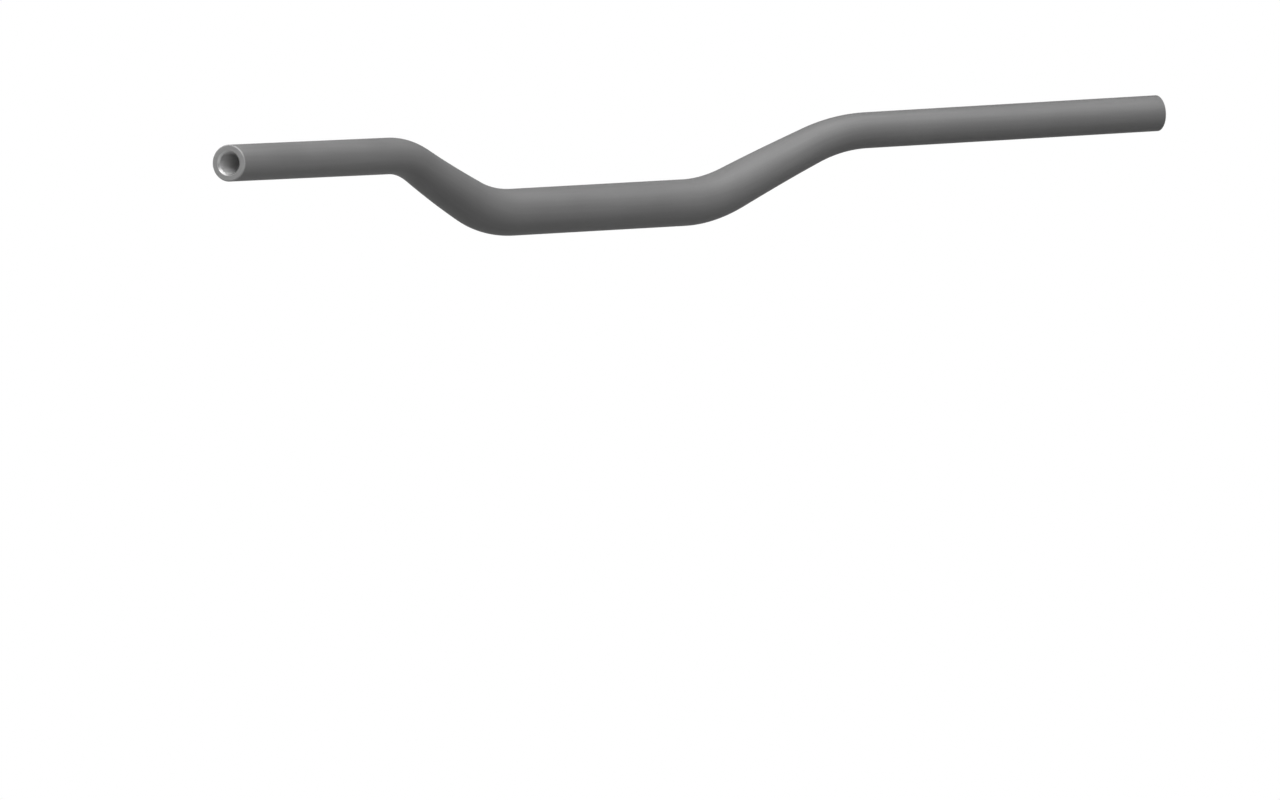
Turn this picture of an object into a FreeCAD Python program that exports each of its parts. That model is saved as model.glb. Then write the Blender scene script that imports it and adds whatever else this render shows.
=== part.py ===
import FreeCAD, Part
import math
import os
from itertools import accumulate

import Sketcher
from FreeCAD import Placement, Rotation, Vector

# Motocross handlebar: one aluminium tube, thick in the middle where the clamps hold it. On each side a
# leg bends up from there, sweeps back as it rises and tapers, and bends level again into a thinner grip.
# The origin is the middle of the clamp seat, with +X to the rider's right, +Y forward and +Z up, as mounted.

# Driving dimensions, in millimetres and degrees. Rise angles are above the clamp seat's axis, and sweep
# angles are behind it.
DRIVING = {
    "clamp_diameter": "28.6",
    "grip_diameter": "22.2",
    "wall": "4.6",
    "clamp_length": "150",
    "inner_bend_radius": "97",
    "leg_rise_angle": "22.5",
    "leg_start_sweep_angle": "8.5",
    "leg_end_sweep_angle": "16",
    "leg_bend_radius": "520",
    "outer_bend_radius": "110",
    "grip_length": "206",
    "grip_rise_angle": "1.5",
    "grip_sweep_angle": "17",
    "outer_chamfer": "0.6",
    "bore_chamfer": "1.2",
}

# The way along the tube in a section's own frame
ALONG = Vector(1, 0, 0)


def make_sheet(doc):
    """The spreadsheet of driving dimensions, one alias a row."""
    sheet = doc.addObject("Spreadsheet::Sheet", "sizes")
    for row, (name, value) in enumerate(DRIVING.items(), start=1):
        sheet.set(f"A{row}", name)
        sheet.set(f"B{row}", value)
        sheet.setAlias(f"B{row}", name)
    doc.recompute()
    return sheet


def direction(rise, sweep):
    """Where the tube's right side points, by its rise and sweep angles."""
    rise, sweep = math.radians(rise), math.radians(sweep)
    return Vector(
        math.cos(rise) * math.cos(sweep),
        -math.cos(rise) * math.sin(sweep),
        math.sin(rise),
    )


def bend(start, toward, radius):
    """The arc that turns the tube from a start section to a new direction, and the section at its end."""
    heading = start.Rotation.multVec(ALONG)
    turn = Rotation(heading, toward)
    centre = start.Base + turn.Axis.cross(heading) * radius

    def section(share):
        turned = Rotation(turn.Axis, math.degrees(turn.Angle * share))
        return Placement(centre + turned.multVec(start.Base - centre), turned * start.Rotation)

    middle, end = section(0.5), section(1)
    return Part.Arc(start.Base, middle.Base, end.Base), end


def right_path(doc, sheet):
    """The tube's centre line on the right, from the clamp seat's end to the grip's start, and its sections.

    It is the inner bend, the leg, which sweeps back in a long flat bend, and the outer bend. They lie in
    different planes, so it is a wire and no sketch. Each of its four sections, at the bends' ends, is a share
    of the way along it and the place of the ring across the tube there.
    """
    leg_start = direction(sheet.leg_rise_angle, sheet.leg_start_sweep_angle)
    leg_end = direction(sheet.leg_rise_angle, sheet.leg_end_sweep_angle)
    grip = direction(sheet.grip_rise_angle, sheet.grip_sweep_angle)
    bends = [
        (leg_start, sheet.inner_bend_radius),
        (leg_end, sheet.leg_bend_radius),
        (grip, sheet.outer_bend_radius),
    ]

    curves, places = [], [Placement(ALONG * (sheet.clamp_length / 2), Rotation())]
    for toward, radius in bends:
        curve, end = bend(places[-1], toward, radius)
        curves.append(curve)
        places.append(end)

    path = doc.addObject("Part::Feature", "right_path")
    path.Shape = Part.Wire([curve.toShape() for curve in curves])
    ways = list(accumulate((curve.length() for curve in curves), initial=0))
    return path, [(way / ways[-1], place) for way, place in zip(ways, places)]


def eased(share):
    """How much of the taper is done at a share of the way, with no slope at either end.

    It is a cubic, so a sweep through the four sections follows it all the way.
    """
    return share * share * (3 - 2 * share)


def origin_plane(body, role):
    """One of the body's own origin planes, by its role."""
    return next(feature for feature in body.Origin.OriginFeatures if feature.Role == role)


def ring(body, name, place, diameter):
    """A circle across the tube at a place, with its diameter bound to an expression."""
    plane = origin_plane(body, "YZ_Plane")
    sketch = body.newObject("Sketcher::SketchObject", name)
    sketch.AttachmentSupport = (plane, [""])
    sketch.MapMode = "FlatFace"
    sketch.AttachmentOffset = plane.Placement.inverse() * place * plane.Placement
    circle = sketch.addGeometry(Part.Circle(Vector(), Vector(0, 0, 1), 1))
    sketch.addConstraint(Sketcher.Constraint("Coincident", circle, 3, -1, 1))
    sizing = sketch.addConstraint(Sketcher.Constraint("Diameter", circle, 2))
    sketch.setExpression(f"Constraints[{sizing}]", diameter)
    return sketch


def add_surface(body, name, path, sections, straight_kind, pipe_kind, inset):
    """Adds or cuts one round surface of the tube: the whole clamp seat, and the right side's taper and grip.

    The expression inset is taken off every diameter. The taper and the grip are returned, to be mirrored.
    """

    def tube_ring(label, share, place):
        narrowing = f"(sizes.clamp_diameter - sizes.grip_diameter) * {eased(share)}"
        return ring(body, f"{name}_{label}", place, f"sizes.clamp_diameter - {narrowing} - {inset}")

    seat = body.newObject(straight_kind, f"{name}_seat")
    seat.Profile = tube_ring("seat_ring", 0, Placement())
    seat.SideType = "Symmetric"
    seat.setExpression("Length", "sizes.clamp_length")

    rings = [tube_ring(f"taper_ring_{number}", *section) for number, section in enumerate(sections)]
    taper = body.newObject(pipe_kind, f"{name}_taper")
    taper.Profile = rings[0]
    taper.Spine = (path, [f"Edge{number + 1}" for number in range(len(path.Shape.Edges))])
    taper.Transformation = "Multisection"
    taper.Sections = rings[1:]

    grip = body.newObject(straight_kind, f"{name}_grip")
    grip.Profile = tube_ring("grip_ring", *sections[-1])
    grip.Reversed = straight_kind == "PartDesign::Pocket"
    grip.setExpression("Length", "sizes.grip_length")
    return [taper, grip]


def end_edges(shape, pick):
    """Names of the edges round the tube's two flat ends: max picks the outer ones, min those of the bore."""
    ends = [face for face in shape.Faces if isinstance(face.Surface, Part.Plane)]
    picked = [pick(end.Edges, key=lambda edge: edge.Length) for end in ends]
    return [
        f"Edge{number}"
        for number, edge in enumerate(shape.Edges, start=1)
        if any(edge.isSame(chosen) for chosen in picked)
    ]


def chamfer_ends(doc, body, name, pick, size):
    """Chamfers the outer or the bore's edge at both ends of the tube, by a size from the sheet."""
    doc.recompute()
    base = body.Tip
    chamfer = body.newObject("PartDesign::Chamfer", name)
    chamfer.Base = (base, end_edges(base.Shape, pick))
    chamfer.setExpression("Size", size)


def make_handlebar(doc, sheet):
    """The handlebar's tube: its outside and its bore, mirrored to the left side, with both ends chamfered."""
    path, sections = right_path(doc, sheet)
    body = doc.addObject("PartDesign::Body", "handlebar_tube")
    body.Label = "handlebar_tube"
    body.Placement = Placement()
    doc.recompute()

    adding = ("PartDesign::Pad", "PartDesign::AdditivePipe")
    cutting = ("PartDesign::Pocket", "PartDesign::SubtractivePipe")
    right_side = add_surface(body, "outside", path, sections, *adding, "0")
    right_side += add_surface(body, "bore", path, sections, *cutting, "2 * sizes.wall")

    left_side = body.newObject("PartDesign::Mirrored", "left_side")
    left_side.Originals = right_side
    left_side.MirrorPlane = (origin_plane(body, "YZ_Plane"), [""])
    body.Tip = left_side

    chamfer_ends(doc, body, "outer_chamfers", max, "sizes.outer_chamfer")
    chamfer_ends(doc, body, "bore_chamfers", min, "sizes.bore_chamfer")
    return body


def check(doc, parts):
    """Stops if any object has failed, or if a part's shape is empty or not valid."""
    doc.recompute()
    failed = [o.Name for o in doc.Objects if "Invalid" in o.State or "Error" in o.State]
    failed += [part.Label for part in parts if part.Shape.isNull() or not part.Shape.isValid()]
    if failed:
        raise RuntimeError(f"these objects failed: {failed}")


def write(parts):
    """One STEP file for each part, named by its label."""
    os.makedirs("parts", exist_ok=True)
    for part in parts:
        part.Shape.exportStep(f"parts/{part.Label}.step")


doc = FreeCAD.newDocument("handlebar")
parts = [make_handlebar(doc, make_sheet(doc))]
check(doc, parts)
write(parts)
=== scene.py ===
import math

import bpy
import numpy as np
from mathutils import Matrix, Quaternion, Vector


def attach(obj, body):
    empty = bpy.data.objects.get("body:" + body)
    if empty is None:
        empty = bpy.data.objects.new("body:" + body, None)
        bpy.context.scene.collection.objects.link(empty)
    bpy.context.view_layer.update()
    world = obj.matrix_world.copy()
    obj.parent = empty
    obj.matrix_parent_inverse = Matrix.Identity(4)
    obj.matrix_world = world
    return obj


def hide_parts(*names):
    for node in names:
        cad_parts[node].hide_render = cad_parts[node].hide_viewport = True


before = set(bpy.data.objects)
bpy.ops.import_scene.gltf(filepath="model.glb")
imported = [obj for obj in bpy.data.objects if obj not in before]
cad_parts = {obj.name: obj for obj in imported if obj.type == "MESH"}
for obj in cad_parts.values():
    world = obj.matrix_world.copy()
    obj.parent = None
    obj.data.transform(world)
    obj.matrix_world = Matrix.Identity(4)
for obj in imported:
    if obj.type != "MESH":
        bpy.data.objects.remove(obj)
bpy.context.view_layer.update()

# Motocross handlebar: one bent, tapered aluminium tube in satin grey anodising. The sizes are those of the
# CAD source, in metres and degrees. +X is the rider's right, +Y forward and +Z up.
CLAMP_RADIUS = 0.0143
GRIP_RADIUS = 0.0111
WALL = 0.0046
CLAMP_LENGTH = 0.150
INNER_BEND_RADIUS = 0.097
LEG_RISE = 22.5
LEG_START_SWEEP, LEG_END_SWEEP = 8.5, 16.0
LEG_BEND_RADIUS = 0.520
OUTER_BEND_RADIUS = 0.110
GRIP_LENGTH = 0.206
GRIP_RISE, GRIP_SWEEP = 1.5, 17.0
OUTER_CHAMFER = 0.0006
BORE_CHAMFER = 0.0012

# The visual mesh: points round the tube, and the longest steps along its straight and its curved stretches
AROUND = 96
STRAIGHT_STEP = 0.006
CURVED_STEP = 0.0025

# Edges sharper than this many degrees are rounded off by this much, in this many steps
SHARP_EDGE = 30.0
EDGE_ROUND = 0.00012
EDGE_STEPS = 2

ALONG = Vector((1, 0, 0))


# The tube's shape

def direction(rise, sweep):
    """Where the tube's right side points, by its rise and sweep angles."""
    rise, sweep = math.radians(rise), math.radians(sweep)
    return Vector((
        math.cos(rise) * math.cos(sweep),
        -math.cos(rise) * math.sin(sweep),
        math.sin(rise),
    ))


class Walk:
    """A walk along the tube's centre line, which notes a section at every step.

    A section is its distance from the tube's middle, its centre and the turn from the middle's own axes.
    """

    def __init__(self):
        self.sections = [(0.0, Vector(), Quaternion())]

    def straight(self, length):
        start, centre, turn = self.sections[-1]
        heading = turn @ ALONG
        steps = math.ceil(length / STRAIGHT_STEP)
        for step in range(1, steps + 1):
            way = length * step / steps
            self.sections.append((start + way, centre + heading * way, turn))

    def bend(self, toward, radius):
        start, centre, turn = self.sections[-1]
        heading = turn @ ALONG
        full = heading.rotation_difference(toward)
        pivot = centre + full.axis.cross(heading) * radius
        length = radius * full.angle
        steps = math.ceil(length / CURVED_STEP)
        for step in range(1, steps + 1):
            share = step / steps
            part = Quaternion(full.axis, full.angle * share)
            self.sections.append((start + length * share, pivot + part @ (centre - pivot), part @ turn))


def right_side():
    """The centre line's sections from the middle to the right end, and the taper's two ends along it."""
    walk = Walk()
    walk.straight(CLAMP_LENGTH / 2)
    taper_start = walk.sections[-1][0]
    walk.bend(direction(LEG_RISE, LEG_START_SWEEP), INNER_BEND_RADIUS)
    walk.bend(direction(LEG_RISE, LEG_END_SWEEP), LEG_BEND_RADIUS)
    walk.bend(direction(GRIP_RISE, GRIP_SWEEP), OUTER_BEND_RADIUS)
    taper_end = walk.sections[-1][0]
    walk.straight(GRIP_LENGTH)
    return walk.sections, taper_start, taper_end


def outside_radius(way, taper_start, taper_end):
    """The tube's radius at a distance from its middle: an eased taper from the clamp seat to the grip."""
    share = min(max((way - taper_start) / (taper_end - taper_start), 0), 1)
    return CLAMP_RADIUS - (CLAMP_RADIUS - GRIP_RADIUS) * share * share * (3 - 2 * share)


def shifted(section, back):
    """A section moved back along the tube by a small length."""
    way, centre, turn = section
    return way - back, centre - (turn @ ALONG) * back, turn


def half_profile():
    """The right half's rings as (section, radius, surface), out along the outside and back along the bore.

    The surface is that of the band which leads from the ring to the next one.
    """
    sections, taper_start, taper_end = right_side()
    radii = [outside_radius(way, taper_start, taper_end) for way, _, _ in sections]
    end, end_radius = sections[-1], radii[-1]
    bore_radius = end_radius - WALL

    rings = [(section, radius, "outside") for section, radius in zip(sections[:-1], radii)]
    rings.append((shifted(end, OUTER_CHAMFER), end_radius, "end"))
    rings.append((end, end_radius - OUTER_CHAMFER, "end"))
    rings.append((end, bore_radius + BORE_CHAMFER, "chamfer"))
    rings.append((shifted(end, BORE_CHAMFER), bore_radius, "bore"))
    inward = list(zip(sections[:-1], radii))[::-1]
    rings += [(section, radius - WALL, "bore") for section, radius in inward]
    return rings


def ring_points(section, radius, side):
    """The points of one ring, and the same points on the tube laid out straight.

    The side is 1 on the right and -1 on the left.
    """
    way, centre, turn = section
    angles = np.arange(AROUND) * (2 * math.pi / AROUND)
    flat = np.stack([np.zeros(AROUND), np.cos(angles) * radius, np.sin(angles) * radius], 1)
    placed = flat @ np.array(turn.to_matrix()).T + np.array(centre)
    placed[:, 0] *= side
    flat[:, 0] = way * side
    return placed, flat


SURFACES = ("outside", "end", "chamfer", "bore")


def tube_mesh():
    """The whole tube as one closed mesh of quads, with the surface's kind as its faces' material index.

    The attribute tube_place holds each point's place on the tube laid out straight, for the materials.
    """
    half = half_profile()
    left = [ring_points(section, radius, -1) for section, radius, _ in half]
    right = [ring_points(section, radius, 1) for section, radius, _ in half]
    kinds = [surface for _, _, surface in half]
    # Out and back on the right, then out and back on the left, where the bands run the other way
    loop = right + left[-2:0:-1]
    bands = kinds[:-1] + kinds[-2::-1]
    points = np.concatenate([placed for placed, _ in loop])
    flats = np.concatenate([flat for _, flat in loop])

    faces, materials = [], []
    for row, kind in enumerate(bands):
        this, following = row * AROUND, (row + 1) % len(loop) * AROUND
        for step in range(AROUND):
            after = (step + 1) % AROUND
            faces.append((this + after, following + after, following + step, this + step))
            materials.append(SURFACES.index(kind))

    mesh = bpy.data.meshes.new("handlebar")
    mesh.from_pydata(points.tolist(), [], faces)
    mesh.polygons.foreach_set("material_index", materials)
    place = mesh.attributes.new("tube_place", "FLOAT_VECTOR", "POINT")
    place.data.foreach_set("vector", flats.astype(np.float32).ravel())
    mesh.shade_smooth()
    return mesh


# Materials

class Nodes:
    """A material's nodes, added by short calls."""

    def __init__(self, name):
        self.material = bpy.data.materials.new(name)
        self.material.use_nodes = True
        self.tree = self.material.node_tree
        self.shader = self.tree.nodes["Principled BSDF"]

    def add(self, kind, settings=(), **inputs):
        node = self.tree.nodes.new(f"ShaderNode{kind}")
        for name, value in dict(settings).items():
            setattr(node, name, value)
        for name, value in inputs.items():
            self.set(node, name.replace("_", " "), value)
        return node

    def set(self, node, name, value):
        socket = node.inputs[name]
        if isinstance(value, bpy.types.NodeSocket):
            self.tree.links.new(value, socket)
        else:
            socket.default_value = value

    def place(self):
        """The point's place on the tube laid out straight."""
        return self.add("Attribute", {"attribute_name": "tube_place"}).outputs["Vector"]

    def noise(self, vector, scale=1.0, detail=2.0, roughness=0.5):
        """A pattern whose values lie mostly between 0.3 and 0.7."""
        node = self.add("TexNoise", Vector=vector, Scale=scale, Detail=detail, Roughness=roughness)
        return node.outputs["Fac"]

    def stretched(self, vector, scale):
        node = self.add("Mapping", Vector=vector, Scale=scale)
        return node.outputs["Vector"]

    def between(self, value, low, high, start=0.3, end=0.7):
        """A value that goes from low to high while the given one goes from start to end."""
        ranges = {"From Min": start, "From Max": end, "To Min": low, "To Max": high}
        node = self.add("MapRange", Value=value)
        for name, number in ranges.items():
            node.inputs[name].default_value = number
        return node.outputs["Result"]

    def math(self, operation, first, second):
        node = self.add("Math", {"operation": operation})
        self.set(node, 0, first)
        self.set(node, 1, second)
        return node.outputs["Value"]

    def length(self, vector):
        node = self.add("VectorMath", {"operation": "LENGTH"})
        self.set(node, 0, vector)
        return node.outputs["Value"]

    def shaded(self, grey, *patterns):
        """A grey that each pattern, given with its share, makes lighter and darker by that share."""
        for pattern, share in patterns:
            grey = self.math("MULTIPLY", grey, self.between(pattern, 1 - share, 1 + share))
        return grey

    def bump(self, height, distance, normal=None):
        node = self.add("Bump", Height=height, Distance=distance)
        if normal is not None:
            self.set(node, "Normal", normal)
        return node.outputs["Normal"]

    def grey(self, value):
        node = self.add("CombineColor")
        for name in ("Red", "Green", "Blue"):
            self.set(node, name, value)
        return node.outputs["Color"]


# The anodised outside and end faces, the bare cut of the bore's chamfer, and the bore's drawn metal
GREY = 0.165
# The end faces' grey is lighter than the anodised GREY of the same skin: painted light on the end faces
END_GREY_WITH_PAINTED_LIGHT = 0.28
ANODISED_METALLIC = 0.25
CHAMFER_GREY = 0.45
CHAMFER_METALLIC = 0.9
# The bore's grey is far lighter than its metal's own: painted light inside the bore
BORE_GREY_WITH_PAINTED_LIGHT = 0.62
BORE_METALLIC = 0.2

# How strongly every surface reflects, straight on and at a grazing angle
SPECULAR_LEVEL = 0.25
EDGE_TINT = 0.35


def finished(nodes, base, metallic, roughness, normal):
    """The material with its shader set as dull metal, which stays dark at a grazing angle."""
    shader = nodes.shader
    shader.inputs["Metallic"].default_value = metallic
    shader.inputs["Specular IOR Level"].default_value = SPECULAR_LEVEL
    shader.inputs["Specular Tint"].default_value = (EDGE_TINT, EDGE_TINT, EDGE_TINT, 1)
    nodes.set(shader, "Roughness", roughness)
    nodes.set(shader, "Base Color", nodes.grey(base))
    nodes.set(shader, "Normal", normal)
    return nodes.material


def outside_material():
    """Blasted and anodised metal: a fine grain, faint lines along the tube and soft clouds in its shade."""
    nodes = Nodes("satin_grey_anodising")
    place = nodes.place()
    clouds = nodes.noise(place, scale=22.0, detail=3.0)
    streaks = nodes.noise(nodes.stretched(place, (9.0, 420.0, 420.0)))
    grain = nodes.noise(place, scale=2600.0, roughness=0.6)

    base = nodes.shaded(GREY, (clouds, 0.05), (streaks, 0.035), (grain, 0.06))
    roughness = nodes.math("ADD", nodes.between(clouds, 0.53, 0.58), nodes.between(grain, -0.03, 0.03))
    normal = nodes.bump(streaks, distance=0.00002)
    normal = nodes.bump(grain, distance=0.000012, normal=normal)
    return finished(nodes, base, ANODISED_METALLIC, roughness, normal)


def turned_material(name, grey, metallic, roughness):
    """Turned metal, with fine rings round the tube's axis. The roughness is that of the smoothest rings."""
    nodes = Nodes(name)
    place = nodes.place()
    apart = nodes.add("SeparateXYZ", Vector=place)
    radius = nodes.length(nodes.stretched(place, (0.0, 1.0, 1.0)))
    depth = nodes.math("ADD", radius, apart.outputs["X"])
    rings = nodes.add("TexNoise", {"noise_dimensions": "1D"}, W=depth, Scale=5200.0, Detail=1.0)
    cuts = rings.outputs["Fac"]
    clouds = nodes.noise(place, scale=160.0)

    base = nodes.shaded(grey, (cuts, 0.08), (clouds, 0.04))
    roughness = nodes.between(cuts, roughness, roughness + 0.08)
    normal = nodes.bump(cuts, distance=0.000012)
    return finished(nodes, base, metallic, roughness, normal)


def bore_material():
    """Drawn metal inside the tube: plainer and duller, with lines along it. Its grey is lighter than the
    metal's own, painted light that makes the inside of the bore look lit.
    """
    nodes = Nodes("drawn_bore_painted_light")
    place = nodes.place()
    streaks = nodes.noise(nodes.stretched(place, (14.0, 700.0, 700.0)), detail=3.0)
    clouds = nodes.noise(place, scale=70.0, detail=3.0)

    base = nodes.shaded(BORE_GREY_WITH_PAINTED_LIGHT, (streaks, 0.1), (clouds, 0.08))
    roughness = nodes.between(clouds, 0.55, 0.65)
    normal = nodes.bump(streaks, distance=0.00003)
    return finished(nodes, base, BORE_METALLIC, roughness, normal)


def make_handlebar():
    """The visual tube, which stands for the CAD one."""
    tube = bpy.data.objects.new("handlebar", tube_mesh())
    bpy.context.scene.collection.objects.link(tube)
    end = turned_material("turned_end_painted_light", END_GREY_WITH_PAINTED_LIGHT, ANODISED_METALLIC, roughness=0.3)
    chamfer = turned_material("cut_chamfer", CHAMFER_GREY, CHAMFER_METALLIC, roughness=0.34)
    for material in (outside_material(), end, chamfer, bore_material()):
        tube.data.materials.append(material)
    rounding = tube.modifiers.new("edge_round", "BEVEL")
    rounding.limit_method = "ANGLE"
    rounding.angle_limit = math.radians(SHARP_EDGE)
    rounding.width = EDGE_ROUND
    rounding.segments = EDGE_STEPS
    rounding.harden_normals = True
    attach(tube, "root")
    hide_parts("handlebar_tube")


# The studio

FLOOR_HEIGHT = -1.1
FLOOR_RADIUS = 8.0
FLOOR_SIDES = 96
FLOOR_GREY = 0.4
FLOOR_ROUGHNESS = 0.9
FLOOR_SPECULAR = 0.1

# The share of plain white seen in the floor at its middle, and how far out it starts to grow and is whole
MIDDLE_WHITE = 0.4
FADE_START, FADE_END = 1.0, 3.5

# The room's brightness by height, the sine of the angle over the horizon: the first pair holds below it too,
# and the last one up to overhead
SKY = ((0.02, 1.0), (0.08, 0.1))

# The soft boxes, each with its azimuth round from the camera and its elevation, its distance, its two sizes
# and its brightness, which is what a mirror would show of it
LAMPS = (
    (-15, 30, 2.0, (1.2, 1.2), 2.9),
    (-20, 50, 1.3, (1.2, 1.2), 2.0),
    (60, 50, 1.3, (1.5, 1.5), 1.4),
    (90, 75, 1.3, (1.2, 1.2), 2.6),
    (-120, 30, 2.0, (1.5, 1.5), 3.2),
)

# The camera's pose and frame. The photograph is a drawing in parallel projection, so the camera stands far
# off behind a long lens. SCALE is pixels to a metre at the origin, which is at the pixel ORIGIN_AT.
IMAGE_WIDTH, IMAGE_HEIGHT = 1280, 800
SENSOR = 36.0
LENS = 900.0
CAMERA_AZIMUTH = -45.77
CAMERA_ELEVATION = 3.47
SCALE = 1639.0
ORIGIN_AT = (598.26, 207.4)


def make_floor():
    """A plain pale floor far below, about where the ground is under a motorcycle's handlebar.

    To the camera and in reflections it fades to white far out, and so meets the white room with no edge.
    """
    angles = [2 * math.pi * side / FLOOR_SIDES for side in range(FLOOR_SIDES)]
    rim = [(FLOOR_RADIUS * math.cos(a), FLOOR_RADIUS * math.sin(a), FLOOR_HEIGHT) for a in angles]
    mesh = bpy.data.meshes.new("floor")
    mesh.from_pydata(rim, [], [tuple(range(FLOOR_SIDES))])
    nodes = Nodes("pale_floor")
    nodes.shader.inputs["Base Color"].default_value = (FLOOR_GREY, FLOOR_GREY, FLOOR_GREY, 1)
    nodes.shader.inputs["Roughness"].default_value = FLOOR_ROUGHNESS
    nodes.shader.inputs["Specular IOR Level"].default_value = FLOOR_SPECULAR

    where = nodes.add("TexCoord").outputs["Object"]
    flat = nodes.stretched(where, (1.0, 1.0, 0.0))
    faded = nodes.between(nodes.length(flat), MIDDLE_WHITE, 1.0, FADE_START, FADE_END)
    ray = nodes.add("LightPath").outputs
    seen = nodes.math("MAXIMUM", ray["Is Camera Ray"], ray["Is Glossy Ray"])
    seen = nodes.math("MAXIMUM", seen, ray["Is Transmission Ray"])
    white = nodes.add("Emission").outputs["Emission"]
    mix = nodes.add("MixShader", Fac=nodes.math("MULTIPLY", faded, seen))
    nodes.set(mix, 1, nodes.shader.outputs["BSDF"])
    nodes.set(mix, 2, white)
    nodes.set(nodes.tree.nodes["Material Output"], "Surface", mix.outputs["Shader"])
    mesh.materials.append(nodes.material)
    floor = bpy.data.objects.new("floor", mesh)
    bpy.context.scene.collection.objects.link(floor)


def make_world():
    """A plain room: white at the horizon and below it, and dim overhead."""
    world = bpy.data.worlds.new("studio")
    bpy.context.scene.world = world
    world.use_nodes = True
    tree = world.node_tree
    where = tree.nodes.new("ShaderNodeTexCoord")
    apart = tree.nodes.new("ShaderNodeSeparateXYZ")
    level = tree.nodes.new("ShaderNodeMapRange")
    level.inputs["From Min"].default_value = -1.0
    ramp = tree.nodes.new("ShaderNodeValToRGB")
    tree.links.new(where.outputs["Generated"], apart.inputs["Vector"])
    tree.links.new(apart.outputs["Z"], level.inputs["Value"])
    tree.links.new(level.outputs["Result"], ramp.inputs["Fac"])
    tree.links.new(ramp.outputs["Color"], tree.nodes["Background"].inputs["Color"])
    for stop, (height, grey) in zip(ramp.color_ramp.elements, SKY):
        stop.position = (height + 1) / 2
        stop.color = (grey, grey, grey, 1)


def sight(azimuth, elevation):
    """The direction from the object to something seen at an azimuth and elevation round it."""
    azimuth, elevation = math.radians(azimuth), math.radians(elevation)
    return Vector((
        math.sin(azimuth) * math.cos(elevation),
        -math.cos(azimuth) * math.cos(elevation),
        math.sin(elevation),
    ))


def make_softbox(azimuth, elevation, distance, sizes, brightness):
    """A lamp that faces the object."""
    lamp = bpy.data.lights.new("softbox", "AREA")
    lamp.shape = "RECTANGLE"
    lamp.size_y, lamp.size = sizes
    lamp.energy = brightness * math.pi * sizes[0] * sizes[1]
    box = bpy.data.objects.new("softbox", lamp)
    bpy.context.scene.collection.objects.link(box)
    outward = sight(CAMERA_AZIMUTH + azimuth, elevation)
    box.location = outward * distance
    box.rotation_euler = outward.to_track_quat("Z", "Y").to_euler()
    box.visible_camera = False


def make_camera():
    """The photograph's view, with the origin at its pixel there."""
    data = bpy.data.cameras.new("camera")
    data.sensor_width = SENSOR
    data.lens = LENS
    camera = bpy.data.objects.new("camera", data)
    bpy.context.scene.collection.objects.link(camera)
    bpy.context.scene.camera = camera

    outward = sight(CAMERA_AZIMUTH, CAMERA_ELEVATION)
    turn = outward.to_track_quat("Z", "Y")
    right, up = turn @ Vector((1, 0, 0)), turn @ Vector((0, 1, 0))
    across, down = IMAGE_WIDTH / 2 - ORIGIN_AT[0], IMAGE_HEIGHT / 2 - ORIGIN_AT[1]
    aim = (right * across - up * down) / SCALE
    distance = LENS / SENSOR * IMAGE_WIDTH / SCALE
    camera.location = aim + outward * distance
    camera.rotation_euler = turn.to_euler()
    data.clip_start = 0.1
    data.clip_end = distance * 2


make_handlebar()
make_floor()
make_world()
for lamp in LAMPS:
    make_softbox(*lamp)
make_camera()
bpy.context.scene.view_settings.view_transform = "Standard"
